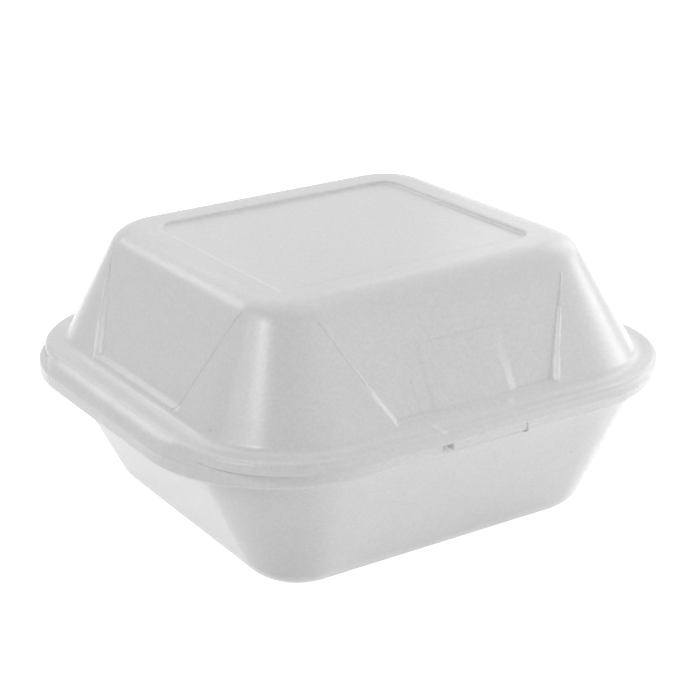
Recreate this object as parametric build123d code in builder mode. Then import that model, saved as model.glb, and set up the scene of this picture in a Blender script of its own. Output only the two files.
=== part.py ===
"""Hinged foam food container: a base tray and a lid pressed from one sheet of polystyrene foam.

The origin is the middle of the tray's floor, on the table. +Z is up, the lock is at -Y and
the hinge at +Y. All lengths are in millimetres.
"""
import os
from math import cos, radians, sin, tan

from build123d import *

# Foam sheet, and how far a cutting body reaches past the face it cuts
sheet = 2.8
overrun = 6.0

# Base tray: floor and mouth outlines of the sloped wall
floor_width = 97.0
floor_depth = 95.0
floor_corner = 13.5
floor_round = 10.0
tray_height = 41.8
mouth_width = 134.8
mouth_depth = 133.8
mouth_corner = 29.0

# Thick rolled rim of the tray: how far it stands out from the mouth
rim_side = 6.0
rim_front = 1.4
rim_back = 2.5
rim_corner_growth = 10.5
rim_height = 4.8
rim_top_round = 1.0
rim_under_round = 1.2
rim_cove = 2.8

# Lid: how far it sits off the tray's middle, and the top and foot outlines of its sloped wall
lid_left = 0.8
lid_forward = 1.9
lid_height = 34.4
top_width = 96.4
top_depth = 93.0
top_corner = 13.9
top_round = 8.3
foot_inset = 2.2
foot_corner = 30.5
foot_cove = 2.8

# Sunken field in the lid's top
field_side = 10.5
field_front = 11.5
field_corner = 5.0
field_drop = 1.0
field_lip_share = 0.5
field_floor_share = 0.45

# Pressed side panels: flush with the wall at the top and deepest at the foot
panel_top_share = 0.745
panel_foot_share = 0.35
panel_top_drop = 5.2
panel_foot_rise = 5.8
panel_press = 1.5
panel_draft = 40.0

# Lid rim: one soft roll out from the wall's foot
lid_rim_side = 4.2
lid_rim_front = 3.6
lid_rim_corner_growth = 4.5
lid_rim_height = 3.2
lid_rim_round = 1.5
lid_rim_under_round = 0.6

# Lock: raised boss in the front panel, tab under the lid's rim, notch in the tray's rim
boss_width = 25.0
boss_slope = 2.4
boss_proud = 0.8
boss_faint = 0.1
boss_rise = 20.6
tab_width = 22.0
tab_inset = 2.4
tab_thickness = 2.2
tab_drop = 3.2
tab_round = 0.8
notch_room = 1.5
tab_clearance = 1.0

# Hinge strip along the back: its lap on the lid's rim, and the room for the fold on each side
hinge_length = 66.0
hinge_thickness = 1.8
hinge_lap = 4.5
hinge_room = 0.5

# Derived sizes of the rims, the lid's foot and the field
rim_width = mouth_width + 2 * rim_side
rim_depth = mouth_depth + rim_front + rim_back
rim_corner = mouth_corner + rim_corner_growth
foot_width = mouth_width - 2 * foot_inset
foot_depth = mouth_depth
lid_rim_width = foot_width + 2 * lid_rim_side
lid_rim_depth = foot_depth + 2 * lid_rim_front
lid_rim_corner = foot_corner + lid_rim_corner_growth
field_width = top_width - 2 * field_side
field_depth = top_depth - 2 * field_front

# Derived levels, planes and outlines
rim_level = tray_height - rim_height
top_level = tray_height + lid_height
lid_frame = Plane((-lid_left, -lid_forward, 0))
lid_back = lid_rim_depth / 2 - lid_forward
tab_front = tab_inset - lid_rim_depth / 2 - lid_forward
hinge_y = mouth_depth / 2 + rim_back
floor_outline = (floor_width, floor_depth, floor_corner)
mouth_outline = (mouth_width, mouth_depth, mouth_corner)
top_outline = (top_width, top_depth, top_corner)
foot_outline = (foot_width, foot_depth, foot_corner)


def between(start, end, share):
    """Value that lies a share of the way from start to end."""
    return start + (end - start) * share


def wall_section(plane, small, large, share, skin):
    """Outline a share of the way from a wall's small end to its large one, skin inside its face."""
    width, depth, corner = (between(start, end, share) for start, end in zip(small, large))
    with BuildSketch(plane) as section:
        RectangleRounded(width - 2 * skin, depth - 2 * skin, corner - skin)
    return section.sketch


def lid_form(skin):
    """Full body of the lid's wall and top, taken skin inside the outer face."""
    skin_share = skin / lid_height
    foot = wall_section(lid_frame.offset(tray_height), top_outline, foot_outline, 1, skin)
    top = wall_section(lid_frame.offset(top_level - skin), top_outline, foot_outline, skin_share, skin)
    with BuildPart() as form:
        loft([foot, top], ruled=True)
        fillet(form.edges().group_by(Axis.Z)[-1], top_round - skin)
    return form.part


def panel_reach(quarter, level):
    """How far a side panel's floor lies from the lid's middle, at a height; quarter 0 is the front."""
    across = (quarter + 1) % 2
    wall = between(top_outline[across], foot_outline[across], (top_level - level) / lid_height) / 2
    panel_length = lid_height - panel_top_drop - panel_foot_rise
    return wall - panel_press * (top_level - panel_top_drop - level) / panel_length


def panel_recess(quarter, skin):
    """Body that presses a side panel in, taken skin inside the outer face; quarter 0 is the front."""
    turn = radians(90 * quarter)
    along = Vector(cos(turn), sin(turn), 0)
    outward = Vector(sin(turn), -cos(turn), 0)
    ends = []
    for level in (top_level - panel_top_drop, tray_height + panel_foot_rise):
        spot = outward * (panel_reach(quarter, level) - skin) + Vector(0, 0, level)
        ends.append(lid_frame.from_local_coords(spot))
    rise = ends[0] - ends[1]
    floor = Plane(ends[0], x_dir=along, z_dir=along.cross(rise))
    lean = tan(radians(panel_draft))
    with BuildPart() as recess:
        for height in (0, overrun):
            spread = (height + skin) * lean
            high = top_outline[quarter % 2] * panel_top_share / 2 + spread
            low = foot_outline[quarter % 2] * panel_foot_share / 2 + spread
            foot = -rise.length - height * lean
            with BuildSketch(floor.offset(height)):
                Polygon((-low, foot), (low, foot), (high, 0), (-high, 0), align=None)
        loft(ruled=True)
    return recess.part


def field_press(skin):
    """Body that presses the field into the lid's top, taken skin under the outer face."""
    with BuildPart() as press:
        with BuildSketch(lid_frame.offset(top_level - field_drop - skin)):
            RectangleRounded(field_width + skin, field_depth + skin, field_corner + skin / 2)
        extrude(amount=overrun)
    return press.part


def lock_boss(skin):
    """Raised boss in the front panel, faint at its top and proud at the rim."""
    half = boss_width / 2
    with BuildPart() as boss:
        for level, proud in ((tray_height + boss_rise, boss_faint), (tray_height, boss_proud)):
            back = skin - panel_reach(0, level)
            with BuildSketch(lid_frame.offset(level)):
                with BuildLine():
                    Polyline((-half, back + sheet), (-half, back), (boss_slope - half, back - proud),
                             (half - boss_slope, back - proud), (half, back), (half, back + sheet),
                             close=True)
                make_face()
        loft(ruled=True)
    return boss.part


# Base tray
with BuildPart() as base_tray:
    rim_middle_share = 1 - rim_height / (2 * tray_height)
    loft([wall_section(Plane.XY, floor_outline, mouth_outline, 0, 0),
          wall_section(Plane.XY.offset(tray_height * rim_middle_share), floor_outline, mouth_outline,
                       rim_middle_share, 0)], ruled=True)
    fillet(base_tray.edges().group_by(Axis.Z)[0], floor_round)

    # Rolled rim, with its soft edges and the cove under it
    with BuildSketch(Plane.XY.offset(rim_level)):
        with Locations((0, (rim_back - rim_front) / 2)):
            RectangleRounded(rim_width, rim_depth, rim_corner)
    extrude(amount=rim_height)
    fillet(base_tray.edges().group_by(Axis.Z)[-1], rim_top_round)
    under = base_tray.faces().filter_by(Axis.Z).sort_by(Axis.Z)[1]
    fillet(under.outer_wire().edges(), rim_under_round)
    under = base_tray.faces().filter_by(Axis.Z).sort_by(Axis.Z)[1]
    fillet(under.inner_wires()[0].edges(), rim_cove)

    # Hollow inside
    loft([wall_section(Plane.XY.offset(sheet), floor_outline, mouth_outline, sheet / tray_height, sheet),
          wall_section(Plane.XY.offset(tray_height), floor_outline, mouth_outline, 1, sheet)],
         ruled=True, mode=Mode.SUBTRACT)
    inside_floor = base_tray.faces().filter_by(Axis.Z).sort_by(Axis.Z)[1]
    fillet(inside_floor.edges(), floor_round - sheet)

    # Notch behind the lock tab, and room for the fold of the hinge
    with BuildSketch(Plane.XY.offset(rim_level - rim_cove)):
        with Locations((-lid_left, tab_front + tab_thickness + tab_clearance)):
            Rectangle(tab_width + 2 * notch_room, overrun, align=(Align.CENTER, Align.MAX))
        with Locations((0, hinge_y - hinge_room)):
            Rectangle(hinge_length, overrun, align=(Align.CENTER, Align.MIN))
    extrude(amount=rim_height + 2 * rim_cove, mode=Mode.SUBTRACT)
base_tray.part.label = "base_tray"

# Hollow of the lid, with the backs of the pressed panels and field standing into it
with BuildPart() as lid_hollow:
    add(lid_form(sheet))
    for quarter in range(4):
        add(panel_recess(quarter, sheet), mode=Mode.SUBTRACT)
    add(lock_boss(sheet))
    add(field_press(sheet), mode=Mode.SUBTRACT)

# Lid
with BuildPart() as lid:
    add(lid_form(0))

    # Rim with its rolled edge, and the cove between it and the foot of the wall
    with BuildSketch(lid_frame.offset(tray_height)):
        RectangleRounded(lid_rim_width, lid_rim_depth, lid_rim_corner)
    extrude(amount=lid_rim_height)
    rim_top = lid.faces().filter_by(Axis.Z).sort_by(Axis.Z)[1]
    fillet(rim_top.outer_wire().edges(), lid_rim_round)
    rim_top = lid.faces().filter_by(Axis.Z).sort_by(Axis.Z)[1]
    fillet(rim_top.inner_wires()[0].edges(), foot_cove)
    rim_foot = lid.faces().filter_by(Axis.Z).sort_by(Axis.Z)[0]
    fillet(rim_foot.outer_wire().edges(), lid_rim_under_round)

    # Sunken field in the top
    add(field_press(0), mode=Mode.SUBTRACT)
    field_floor = lid.faces().filter_by(Axis.Z).sort_by(Axis.Z)[-2]
    fillet(field_floor.edges(), field_drop * field_floor_share)
    lid_top = lid.faces().filter_by(Axis.Z).sort_by(Axis.Z)[-1]
    fillet(lid_top.inner_wires()[0].edges(), field_drop * field_lip_share)

    # Pressed side panels and the boss over the lock
    for quarter in range(4):
        add(panel_recess(quarter, 0), mode=Mode.SUBTRACT)
    add(lock_boss(0))

    # Hinge strip from the rim's back edge out to the fold
    with BuildSketch(Plane.XY.offset(tray_height)):
        with Locations((0, hinge_y - hinge_room)):
            Rectangle(hinge_length, hinge_y - hinge_room - lid_back + hinge_lap,
                      align=(Align.CENTER, Align.MAX))
    extrude(amount=hinge_thickness)

    # Lock tab under the front edge
    with BuildSketch(Plane.XY.offset(tray_height - tab_drop)):
        with Locations((-lid_left, tab_front)):
            Rectangle(tab_width, tab_thickness, align=(Align.CENTER, Align.MIN))
    extrude(amount=tab_drop)
    tab_foot = lid.faces().filter_by(Axis.Z).sort_by(Axis.Z)[0]
    fillet(tab_foot.edges(), tab_round)

    add(lid_hollow.part, mode=Mode.SUBTRACT)
lid.part.label = "lid"

os.makedirs("parts", exist_ok=True)
export_step(base_tray.part, "parts/base_tray.step")
export_step(lid.part, "parts/lid.step")
for piece in (base_tray.part, lid.part):
    print(piece.label, "volume", round(piece.volume), "mm3, solids", len(piece.solids()))
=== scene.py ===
# %% [markdown]
# # A foam clamshell container
#
# The object is a small hinged food container, pressed from one sheet of white polystyrene foam.
# Its two halves, the tray and the lid, come ready made from the CAD model, in metres, and stay as
# they are. This lesson gives them the look of pressed foam, adds a thin hinge skin along the fold
# and the slope that joins the two rims on the left, and sets up a small photo
# studio round them.

# %% Load the imported model
from math import cos, pi, radians, sin

import bmesh
import bpy
from mathutils import Matrix, Vector


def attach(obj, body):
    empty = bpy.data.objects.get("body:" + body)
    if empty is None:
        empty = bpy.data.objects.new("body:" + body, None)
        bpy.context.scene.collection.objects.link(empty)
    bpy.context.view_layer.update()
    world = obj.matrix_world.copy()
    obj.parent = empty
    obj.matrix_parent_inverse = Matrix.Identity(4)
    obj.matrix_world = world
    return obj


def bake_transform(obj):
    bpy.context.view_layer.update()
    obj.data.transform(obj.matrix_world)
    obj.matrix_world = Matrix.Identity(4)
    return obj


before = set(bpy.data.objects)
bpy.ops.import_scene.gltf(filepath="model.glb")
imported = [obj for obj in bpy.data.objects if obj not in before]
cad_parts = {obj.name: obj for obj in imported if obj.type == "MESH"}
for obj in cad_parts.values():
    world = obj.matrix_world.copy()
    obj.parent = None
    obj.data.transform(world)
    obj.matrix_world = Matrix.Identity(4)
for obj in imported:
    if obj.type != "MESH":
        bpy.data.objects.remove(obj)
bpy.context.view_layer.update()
tray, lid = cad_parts["base_tray"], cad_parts["lid"]
MM = 0.001

# %% [markdown]
# ## Two helpers for materials
#
# Colours are written as sRGB hex values, the way a colour picker shows them, but shader sockets
# hold linear light. One function converts them. A second one adds a node, sets its sockets and
# properties, and links its inputs, so that each material below reads as a short list.

# %% Colour and node helpers
def srgb(hex_colour):
    """Linear RGBA of an sRGB hex colour."""
    channels = [int(hex_colour[i:i + 2], 16) / 255 for i in (1, 3, 5)]
    linear = [c / 12.92 if c <= 0.04045 else ((c + 0.055) / 1.055) ** 2.4 for c in channels]
    return (*linear, 1.0)


def add_node(tree, kind, sockets=None, links=None, **settings):
    """A new node with its properties, socket values and incoming links set."""
    node = tree.nodes.new(kind)
    for name, value in settings.items():
        setattr(node, name, value)
    for name, value in (sockets or {}).items():
        node.inputs[name].default_value = value
    for name, source in (links or {}).items():
        tree.links.new(source, node.inputs[name])
    return node


print("white #ffffff is", srgb("#ffffff"))

# %% [markdown]
# ## Painted light and shade on the creases, and nicks
#
# Along the creases of the panels the small pressed steps catch a thin line of light or hold a fine
# line of shade, and here and there the handled skin is nicked. They could be cut into the mesh, but
# they are only tenths of a millimetre deep, so they are drawn in the material: the light and shade
# as painted highlights and painted shade, the nicks as specks. Each mark is a short stroke from one
# point of the surface to another, and the shader measures how far a spot lies from that stroke.

# %% Strokes
def stroke(tree, spot, start, end, width):
    """1 on the line between two points in millimetres, fading to 0 at its width."""
    start, reach = Vector(start) * MM, (Vector(end) - Vector(start)) * MM
    offset = add_node(tree, "ShaderNodeVectorMath", {1: start}, {0: spot}, operation="SUBTRACT")
    along = add_node(tree, "ShaderNodeVectorMath", {1: reach / reach.length_squared},
                     {0: offset.outputs[0]}, operation="DOT_PRODUCT")
    share = add_node(tree, "ShaderNodeMapRange", links={"Value": along.outputs["Value"]})
    nearest = add_node(tree, "ShaderNodeVectorMath", {0: reach}, {"Scale": share.outputs[0]},
                       operation="SCALE")
    gap = add_node(tree, "ShaderNodeVectorMath", links={0: offset.outputs[0], 1: nearest.outputs[0]},
                   operation="DISTANCE")
    return add_node(tree, "ShaderNodeMapRange", {"From Max": width * MM, "To Min": 1.0, "To Max": 0.0},
                    {"Value": gap.outputs["Value"]}, interpolation_type="SMOOTHSTEP").outputs[0]


def strokes(tree, spot, sides):
    """The strongest of several strokes, drawn straight through the sheet of the side they are on."""
    strongest = None
    for across, marks in sides.items():
        flat = Vector([axis != across for axis in "xyz"])
        flat_spot = add_node(tree, "ShaderNodeVectorMath", {1: flat}, {0: spot}, operation="MULTIPLY")
        for start, end, width, strength in marks:
            mark = stroke(tree, flat_spot.outputs[0], Vector(start) * flat, Vector(end) * flat, width)
            faded = add_node(tree, "ShaderNodeMapRange", {"To Max": strength}, {"Value": mark})
            strongest = faded.outputs[0] if strongest is None else add_node(
                tree, "ShaderNodeMath", links={0: strongest, 1: faded.outputs[0]},
                operation="MAXIMUM").outputs[0]
    return strongest


print("helpers for marks:", stroke.__name__, strokes.__name__)

# %% [markdown]
# ### Where the painted light and the specks are
#
# The painted highlights follow the steps of the creases of the front and left panels and the edge of
# the sunken top, with two small spots of light by the lock. The painted shade draws the fine dark
# lines of the creases and the faint streaks beside the lock, and there are a few dark specks. Each
# side of the container is drawn as seen straight on, because the sheet curves and a distance through
# space would miss it. So the marks are sorted by the axis that points across their side.

# %% Marks
# Painted highlights: lines of light on the crease steps and the sunken top's edge, two spots by the lock
# Both ends and the width in millimetres, and the strength
PAINTED_HIGHLIGHT_LINES = {
    "y": [((34.6, -52.0, 70.0), (30.6, -56.0, 62.5), 0.45, 0.55),
          ((30.6, -56.0, 62.5), (25.6, -61.3, 52.5), 0.70, 0.95),
          ((25.6, -61.3, 52.5), (23.4, -63.5, 48.0), 0.95, 1.00),
          ((-28.6, -61.7, 54.5), (-24.8, -65.2, 47.4), 0.80, 0.80),
          ((-15.4, -69.0, 45.0), (-14.6, -69.0, 45.0), 0.80, 0.35),
          ((7.6, -66.5, 45.9), (8.6, -66.5, 45.9), 0.80, 0.35)],
    "x": [((-54.0, 31.5, 65.0), (-59.5, 26.5, 54.5), 0.50, 0.50),
          ((-59.5, 26.5, 54.5), (-63.5, 22.8, 46.9), 0.95, 0.90)],
    "z": [((-39.3, -37.0, 76.2), (-39.3, 29.0, 76.2), 1.10, 0.40)],
}
# Painted shade in the creases and beside the lock, and a few dark specks
SHADE_LINES_AND_SPECKS = {
    "x": [((-49.8, -37.7, 73.2), (-63.8, -23.5, 46.4), 0.40, 0.45),
          ((-62.7, -42.4, 47.5), (-62.5, -42.6, 47.5), 0.50, 0.60),
          ((-73.4, 31.3, 40.6), (-73.2, 31.3, 40.2), 0.70, 0.60)],
    "y": [((-36.9, -51.0, 71.7), (-29.8, -59.6, 57.0), 0.35, 0.40),
          ((-12.6, -56.0, 62.5), (-12.8, -63.4, 48.6), 1.20, 0.12),
          ((-17.1, -59.9, 55.2), (-16.6, -64.3, 47.4), 0.50, 0.12),
          ((-20.0, -61.0, 53.5), (-19.4, -64.0, 48.0), 0.50, 0.10),
          ((33.4, -58.0, 22.8), (33.6, -58.0, 22.6), 0.50, 0.45)],
}
for kind, sides in (("painted_highlight", PAINTED_HIGHLIGHT_LINES), ("painted_shade_and_specks", SHADE_LINES_AND_SPECKS)):
    print(kind, "marks:", sum(len(marks) for marks in sides.values()))

# %% [markdown]
# ## Pressed polystyrene foam
#
# Sheets like this are usually extruded polystyrene foam: closed cells a few tenths of a millimetre
# across under a thin, smooth skin. It could be one flat white, but then it would look like plastic.
# Two patterns give it its mottle: small cells, each with its own tone, and slow clouds where the
# sheet is a little denser. The cells are drawn at 0.6 mm, a little over their real size, because
# the real ones are about as small as a pixel of the picture.

# %% Foam cells and colour
CELL = 0.6 * MM
CLOUD = 9.0 * MM

# Pressed polystyrene gives the eye a satin white, a fine grain and soft lines of light on the rolls
foam = bpy.data.materials.new("pressed_polystyrene_foam")
foam.use_nodes = True
tree = foam.node_tree
shader = tree.nodes["Principled BSDF"]
shader.inputs["IOR"].default_value = 1.45
place = add_node(tree, "ShaderNodeTexCoord").outputs["Object"]
cells = add_node(tree, "ShaderNodeTexVoronoi", {"Scale": 1 / CELL, "Randomness": 1.0}, {"Vector": place})
clouds = add_node(tree, "ShaderNodeTexNoise", {"Scale": 1 / CLOUD, "Detail": 2.0, "Roughness": 0.5},
                  {"Vector": place})

cell_tone = add_node(tree, "ShaderNodeMapRange", {"To Max": 0.8}, {"Value": cells.outputs["Color"]})
cloud_tone = add_node(tree, "ShaderNodeMapRange", {"From Min": 0.3, "From Max": 0.7, "To Max": 0.2},
                      {"Value": clouds.outputs["Fac"]})
tone = add_node(tree, "ShaderNodeMath", links={0: cell_tone.outputs[0], 1: cloud_tone.outputs[0]},
                operation="ADD")
sheet_colour = add_node(tree, "ShaderNodeMix", links={"Factor": tone.outputs[0]}, data_type="RGBA")
sheet_colour.inputs["A"].default_value = srgb("#ededed")
sheet_colour.inputs["B"].default_value = srgb("#e3e3e4")
print("foam cells of", CELL / MM, "mm and clouds of", CLOUD / MM, "mm")

# %% [markdown]
# ### Painted light and specks on the foam
#
# The painted highlights turn the foam white, and the painted shade and the specks grey it. Ruled
# lines would look drawn, and real cracks waver, so a noise moves each spot by up to a quarter of a
# millimetre along each axis before its distance to the strokes is measured. A painted picture could
# hold the marks too, but it would need the surface unwrapped, and strokes in the object's own
# millimetres don't.

# %% Marks on the foam
CRACK = 2.0 * MM
CRACK_SWING = 0.5 * MM

shiver = add_node(tree, "ShaderNodeTexNoise", {"Scale": 1 / CRACK, "Detail": 1.0}, {"Vector": place})
swing = add_node(tree, "ShaderNodeVectorMath", {1: (0.5, 0.5, 0.5)}, {0: shiver.outputs["Color"]},
                 operation="SUBTRACT")
spot = add_node(tree, "ShaderNodeVectorMath", {1: (CRACK_SWING,) * 3},
                {0: swing.outputs[0], 2: place}, operation="MULTIPLY_ADD").outputs[0]
painted_highlight = strokes(tree, spot, PAINTED_HIGHLIGHT_LINES)
painted_shade_and_specks = strokes(tree, spot, SHADE_LINES_AND_SPECKS)
# The painted highlights whiten the foam's colour along their strokes
highlight_painted_colour = add_node(tree, "ShaderNodeMix",
                    links={"Factor": painted_highlight, "A": sheet_colour.outputs["Result"]}, data_type="RGBA")
highlight_painted_colour.inputs["B"].default_value = srgb("#ffffff")
# The painted shade and the specks grey the foam's colour
shade_painted_colour = add_node(tree, "ShaderNodeMix", links={"Factor": painted_shade_and_specks, "A": highlight_painted_colour.outputs["Result"]},
                   data_type="RGBA")
shade_painted_colour.inputs["B"].default_value = srgb("#bcbcbe")
tree.links.new(shade_painted_colour.outputs["Result"], shader.inputs["Base Color"])
print("marks waver by up to", CRACK_SWING / 2 / MM, "mm")

# %% [markdown]
# ### Sheen and relief of the foam
#
# The press leaves the skin satin: smooth enough for a soft line of light on every roll, too rough
# for a clear reflection. Foam can't hold a sharp edge either. The edges could be bevelled in the
# mesh, but that is the CAD model's, so the Bevel node turns the normals near an edge instead, which
# softens the fine steps of the pressed panels in the light. Two bumps raise the lines of painted
# highlight, sink the lines of painted shade and the specks, and give the cells their grain.

# %% Foam sheen and relief
SOFT_EDGE = 1.0 * MM
WELT = 0.3 * MM
GRAIN = 0.08 * MM

# The map stays below 0.27, a value at which the picture's noise filter leaves dark specks
gloss = add_node(tree, "ShaderNodeMapRange",
                 {"From Min": 0.3, "From Max": 0.7, "To Min": 0.22, "To Max": 0.26},
                 {"Value": clouds.outputs["Fac"]})
tree.links.new(gloss.outputs[0], shader.inputs["Roughness"])

rounded = add_node(tree, "ShaderNodeBevel", {"Radius": SOFT_EDGE}, samples=6)
welt = add_node(tree, "ShaderNodeMath", links={0: painted_highlight, 1: painted_shade_and_specks}, operation="SUBTRACT")
welt_bump = add_node(tree, "ShaderNodeBump", {"Strength": 0.5, "Distance": WELT},
                     {"Height": welt.outputs[0], "Normal": rounded.outputs[0]})
cell_bump = add_node(tree, "ShaderNodeBump", {"Strength": 0.10, "Distance": GRAIN},
                     {"Height": cells.outputs["Distance"], "Normal": welt_bump.outputs["Normal"]})
tree.links.new(cell_bump.outputs["Normal"], shader.inputs["Normal"])

for half in (tray, lid):
    half.data.materials.clear()
    half.data.materials.append(foam)
    print(half.name, "has", len(half.data.polygons), "faces of foam")

# %% [markdown]
# ## Hinge skin
#
# The two halves are one sheet, pressed thin along a line at the back so that it folds. In the
# CAD model that line is only the hinge's axis, with a little room left on both sides. A thin
# strip of foam fills it, laid just inside the fold and a little below it. It is made as a grid of
# a few rows and columns, then given its thickness.

# %% Hinge skin
FOLD = Vector((0, 69.4, 41.8)) * MM
SKIN_LENGTH, SKIN_HEIGHT, SKIN_THICK = 66.0 * MM, 5.0 * MM, 0.4 * MM
# How far the skin lies inside the fold and below it
SKIN_GAP, SKIN_DROP = 0.5 * MM, 0.5 * MM
SKIN_COLUMNS, SKIN_ROWS = 12, 10

skin_mesh = bmesh.new()
bmesh.ops.create_grid(skin_mesh, x_segments=SKIN_COLUMNS, y_segments=SKIN_ROWS, size=0.5)
bmesh.ops.scale(skin_mesh, vec=(SKIN_LENGTH, SKIN_HEIGHT, 1), verts=skin_mesh.verts)
bmesh.ops.rotate(skin_mesh, matrix=Matrix.Rotation(radians(90), 3, "X"), verts=skin_mesh.verts)
bmesh.ops.translate(skin_mesh, vec=FOLD - Vector((0, SKIN_GAP, SKIN_DROP)), verts=skin_mesh.verts)
bmesh.ops.recalc_face_normals(skin_mesh, faces=skin_mesh.faces)
bmesh.ops.solidify(skin_mesh, geom=skin_mesh.faces[:], thickness=-SKIN_THICK)
bmesh.ops.recalc_face_normals(skin_mesh, faces=skin_mesh.faces)
skin_data = bpy.data.meshes.new("hinge_skin")
skin_mesh.to_mesh(skin_data)
skin_mesh.free()
skin = bpy.data.objects.new("hinge_skin", skin_data)
bpy.context.collection.objects.link(skin)
skin.data.materials.append(foam)
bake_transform(skin)
lows = [round(min(v.co[i] for v in skin_data.vertices) / MM, 2) for i in range(3)]
highs = [round(max(v.co[i] for v in skin_data.vertices) / MM, 2) for i in range(3)]
print("hinge skin from", lows, "to", highs, "mm")

# %% [markdown]
# ## Left rim slope
#
# On the left the real lid is pressed out to the tray's edge, so the two rims look like one soft
# roll there, which parts only at the back corner. In the CAD model the lid's rim stands on the
# tray's as a plain step. The slope that softens the step is a thin wedge that belongs to the lid.
# It could be drawn by hand, but the rims curve. A grid is laid along them instead: for each place
# along the side, rays shot at both halves find their edges, and the rows of the grid go from the
# lid's edge down to the tray's and back under. Towards the back corner the wedge shrinks to nothing.

# %% Left rim slope
SLOPE_FRONT, SLOPE_FADE, SLOPE_BACK = -52.0 * MM, 30.0 * MM, 48.0 * MM
SLOPE_TOP, SLOPE_FOOT, SLOPE_UNDER = 44.5 * MM, 41.62 * MM, 41.9 * MM
SLOPE_COLUMNS, SLOPE_ROWS = 72, 10
SLOPE_BULGE = 0.25 * MM
OUTSIDE = -100 * MM


def rim_edge(half, along, height):
    """Where the left edge of a half's rim is, at a place along the side and a height."""
    return half.ray_cast(Vector((OUTSIDE, along, height)), Vector((1, 0, 0)))[1]


# Rays need the objects in place first
bpy.context.view_layer.update()
slope_mesh = bmesh.new()
bmesh.ops.create_grid(slope_mesh, x_segments=SLOPE_COLUMNS, y_segments=SLOPE_ROWS, size=0.5)
for point in slope_mesh.verts:
    along = SLOPE_FRONT + (point.co.x + 0.5) * (SLOPE_BACK - SLOPE_FRONT)
    fade = min(max((SLOPE_BACK - along) / (SLOPE_BACK - SLOPE_FADE), 0), 1)
    # Eased, so that the wedge has no kink where it starts to fade
    fade = fade * fade * (3 - 2 * fade)
    under = rim_edge(lid, along, SLOPE_UNDER)
    top = under.lerp(rim_edge(lid, along, SLOPE_TOP), fade)
    foot = under.lerp(rim_edge(tray, along, SLOPE_FOOT), fade)
    row = round((point.co.y + 0.5) * SLOPE_ROWS)
    down = row / (SLOPE_ROWS - 2)
    bulge = Vector((-1, 0, 1)).normalized() * SLOPE_BULGE * fade * sin(down * pi)
    if row == SLOPE_ROWS:
        point.co = top
    elif row == SLOPE_ROWS - 1:
        point.co = under
    else:
        point.co = top.lerp(foot, down) + bulge
print("slope laid along", (SLOPE_BACK - SLOPE_FRONT) / MM, "mm of the rim")

# %% [markdown]
# ### Closing and finishing the slope
#
# The last row of the grid lies on the first, so merging the doubles closes the wedge to a tube, and
# filling the open end makes it a body. Smooth shading would smear light round its thin edges, so
# the edges that turn far are kept sharp. The wedge runs out flush into the rims, and softened edges
# would draw dark lines there, so its foam is a copy of the material without the Bevel node.

# %% Close and finish the slope
MERGE = 0.005 * MM
SHARP = radians(25)

bmesh.ops.remove_doubles(slope_mesh, verts=slope_mesh.verts, dist=MERGE)
bmesh.ops.holes_fill(slope_mesh, edges=slope_mesh.edges)
bmesh.ops.recalc_face_normals(slope_mesh, faces=slope_mesh.faces)
for face in slope_mesh.faces:
    face.smooth = True
for edge in slope_mesh.edges:
    edge.smooth = edge.calc_face_angle(0) < SHARP
slope_data = bpy.data.meshes.new("lid_rim_slope")
slope_mesh.to_mesh(slope_data)
print("rim slope:", len(slope_mesh.faces), "faces, volume", slope_mesh.calc_volume() / MM ** 3, "mm3")
slope_mesh.free()
slope = bpy.data.objects.new("lid_rim_slope", slope_data)
bpy.context.collection.objects.link(slope)

# The same pressed polystyrene, which gives the eye one unbroken roll of foam along the rim
flush_foam = foam.copy()
flush_foam.name = "pressed_polystyrene_foam_flush"
flush_foam.node_tree.nodes.remove(flush_foam.node_tree.nodes[rounded.name])
slope.data.materials.append(flush_foam)
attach(slope, "cover")

# %% [markdown]
# ## White sky
#
# Product photos of white things often have white all round them. The surroundings could be lit
# until they are white, but that light would fall on the foam as well. So the sky glows only for the
# rays that show it, to the camera, in a reflection or through glass, where a strength of 1 is white.

# %% White sky
def seen_rays(tree):
    """1 for rays that show the surroundings: to the camera, in a reflection or through glass."""
    paths = add_node(tree, "ShaderNodeLightPath").outputs
    mirrored = add_node(tree, "ShaderNodeMath",
                        links={0: paths["Is Camera Ray"], 1: paths["Is Glossy Ray"]},
                        operation="MAXIMUM")
    return add_node(tree, "ShaderNodeMath",
                    links={0: mirrored.outputs[0], 1: paths["Is Transmission Ray"]},
                    operation="MAXIMUM").outputs[0]


world = bpy.data.worlds.new("studio_sky")
world.use_nodes = True
bpy.context.scene.world = world
tree = world.node_tree
tree.nodes.clear()
white_sky = add_node(tree, "ShaderNodeBackground", {"Color": srgb("#ffffff")},
                     {"Strength": seen_rays(tree)})
add_node(tree, "ShaderNodeOutputWorld", links={"Surface": white_sky.outputs[0]})
print("sky:", world.name)

# %% [markdown]
# ## White floor
#
# The container stands on a sweep of white paper. Its glow works like the sky's, but near the
# container it is weaker, and the lamps' light on the paper makes up the rest, so that the container
# keeps its shadow there. Further out the glow rises to full white and meets the sky without an
# edge. The floor lies a hair below the tray, because two surfaces in the same place flicker
# through each other.

# %% White floor
NEAR, FAR = 120 * MM, 350 * MM
NEAR_GLOW = 0.83
HAIR = 0.2 * MM
FLOOR_REACH = 3.0

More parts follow.
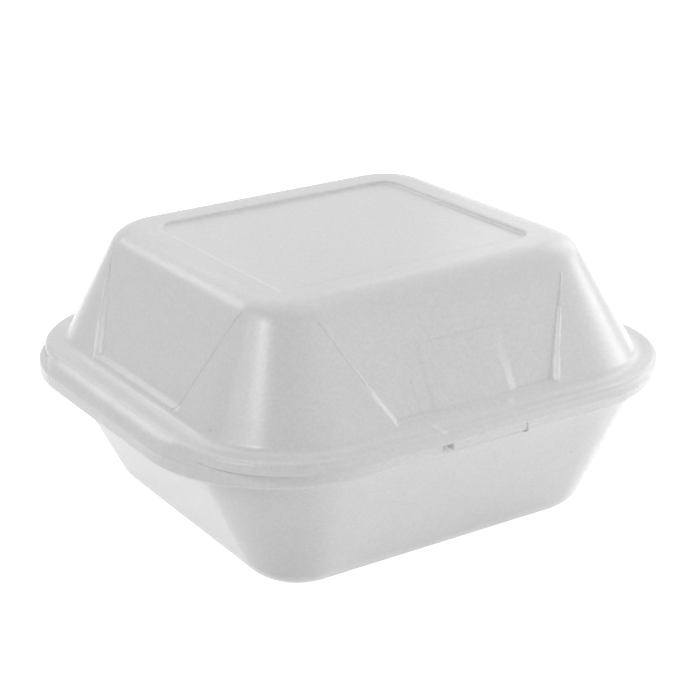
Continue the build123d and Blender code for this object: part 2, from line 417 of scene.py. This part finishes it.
# Matt paper gives the eye an even white with a soft shadow on it and no sheen
sweep = bpy.data.materials.new("white_paper_sweep")
sweep.use_nodes = True
tree = sweep.node_tree
paper = tree.nodes["Principled BSDF"]
paper.inputs["Base Color"].default_value = srgb("#fbfbfb")
paper.inputs["Roughness"].default_value = 0.9
paper_place = add_node(tree, "ShaderNodeTexCoord").outputs["Object"]
from_middle = add_node(tree, "ShaderNodeVectorMath", links={0: paper_place}, operation="LENGTH")
white = add_node(tree, "ShaderNodeMapRange",
                 {"From Min": NEAR, "From Max": FAR, "To Min": NEAR_GLOW, "To Max": 1.0},
                 {"Value": from_middle.outputs["Value"]})
level = add_node(tree, "ShaderNodeMath", links={0: seen_rays(tree), 1: white.outputs[0]},
                 operation="MULTIPLY")
glow = add_node(tree, "ShaderNodeEmission", {"Color": srgb("#ffffff")}, {"Strength": level.outputs[0]})
both = add_node(tree, "ShaderNodeAddShader", links={0: paper.outputs[0], 1: glow.outputs[0]})
tree.links.new(both.outputs[0], tree.nodes["Material Output"].inputs["Surface"])

floor_mesh = bmesh.new()
bmesh.ops.create_grid(floor_mesh, x_segments=1, y_segments=1, size=FLOOR_REACH)
bmesh.ops.translate(floor_mesh, vec=(0, 0, -HAIR), verts=floor_mesh.verts)
floor_data = bpy.data.meshes.new("floor")
floor_mesh.to_mesh(floor_data)
floor_mesh.free()
floor = bpy.data.objects.new("floor", floor_data)
bpy.context.collection.objects.link(floor)
floor.data.materials.append(sweep)
print("floor spans", floor.dimensions.x, "m")

# %% [markdown]
# ## Soft lamps
#
# Pale foam shows its form only by small steps of grey, so the light stays at a plain level, where
# the camera's view keeps those steps. One strong lamp would leave one side dark. Weak soft lamps on
# a dome round the container do better, each set for one part of it: those on the left and right
# light the sides and leave the near corner between them the darkest, the wide low card lights the
# tray's right wall, the strip at the back left draws the soft line of light along the left rim, and
# those above light the sunken top.

# %% Soft lamps
AIM = Vector((0, 0, 40)) * MM
REACH = 800 * MM


def soft_lamp(name, azimuth, elevation, width, height, watts):
    """Area lamp on a dome round the container; azimuth 0 is the front, 90 the right; sizes in mm."""
    turn, rise = radians(azimuth), radians(elevation)
    away = Vector((sin(turn) * cos(rise), -cos(turn) * cos(rise), sin(rise)))
    lamp = bpy.data.lights.new(name, "AREA")
    lamp.shape = "RECTANGLE"
    lamp.size = width * MM
    lamp.size_y = height * MM
    lamp.energy = watts
    holder = bpy.data.objects.new(name, lamp)
    holder.location = AIM + away * REACH
    holder.rotation_euler = (-away).to_track_quat("-Z", "Y").to_euler()
    bpy.context.collection.objects.link(holder)
    print(name, "of", watts, "W, azimuth", azimuth, "elevation", elevation)


soft_lamp("left_softbox", -94, 33, 420, 420, 1.0)
soft_lamp("left_strip", -78, 36, 200, 200, 1.05)
soft_lamp("left_back_strip", -157, 31, 200, 200, 0.3)
soft_lamp("front_fill", 4, 18, 600, 600, 1.2)
soft_lamp("right_low_card", 60, 8, 900, 290, 2.6)
soft_lamp("right_softbox", 95, 30, 600, 600, 1.5)
soft_lamp("right_back_softbox", 122, 28, 600, 600, 0.7)
soft_lamp("back_top_softbox", 180, 50, 600, 600, 1.1)
soft_lamp("top_softbox", 0, 90, 700, 700, 1.4)

# %% [markdown]
# ## Camera
#
# The view was fitted to the outline in the photo: the lens, the distance, the angles and the
# slight roll. A camera could be aimed with a constraint, but that leaves no roll, so its axes are
# worked out from the angles and set as a matrix.

# %% Camera
AZIMUTH, ELEVATION, ROLL = radians(-30.97), radians(20.33), radians(-1.99)
DISTANCE = 511.8 * MM
TARGET_RIGHT, TARGET_UP = 1.93 * MM, 41.13 * MM
LENS, SENSOR = 96.24, 36.0

back = Vector((sin(AZIMUTH) * cos(ELEVATION), -cos(AZIMUTH) * cos(ELEVATION), sin(ELEVATION)))
right = Vector((cos(AZIMUTH), sin(AZIMUTH), 0))
up = back.cross(right)
target = right * TARGET_RIGHT + Vector((0, 0, TARGET_UP))
eye = target + back * DISTANCE
across = right * cos(ROLL) + up * sin(ROLL)
upward = up * cos(ROLL) - right * sin(ROLL)

camera_data = bpy.data.cameras.new("camera")
camera_data.lens = LENS
camera_data.sensor_width = SENSOR
camera = bpy.data.objects.new("camera", camera_data)
camera.matrix_world = Matrix.Translation(eye) @ Matrix((across, upward, back)).transposed().to_4x4()
bpy.context.collection.objects.link(camera)
bpy.context.scene.camera = camera
bpy.context.scene.view_settings.view_transform = "Standard"
print("camera at", tuple(round(c, 4) for c in eye))
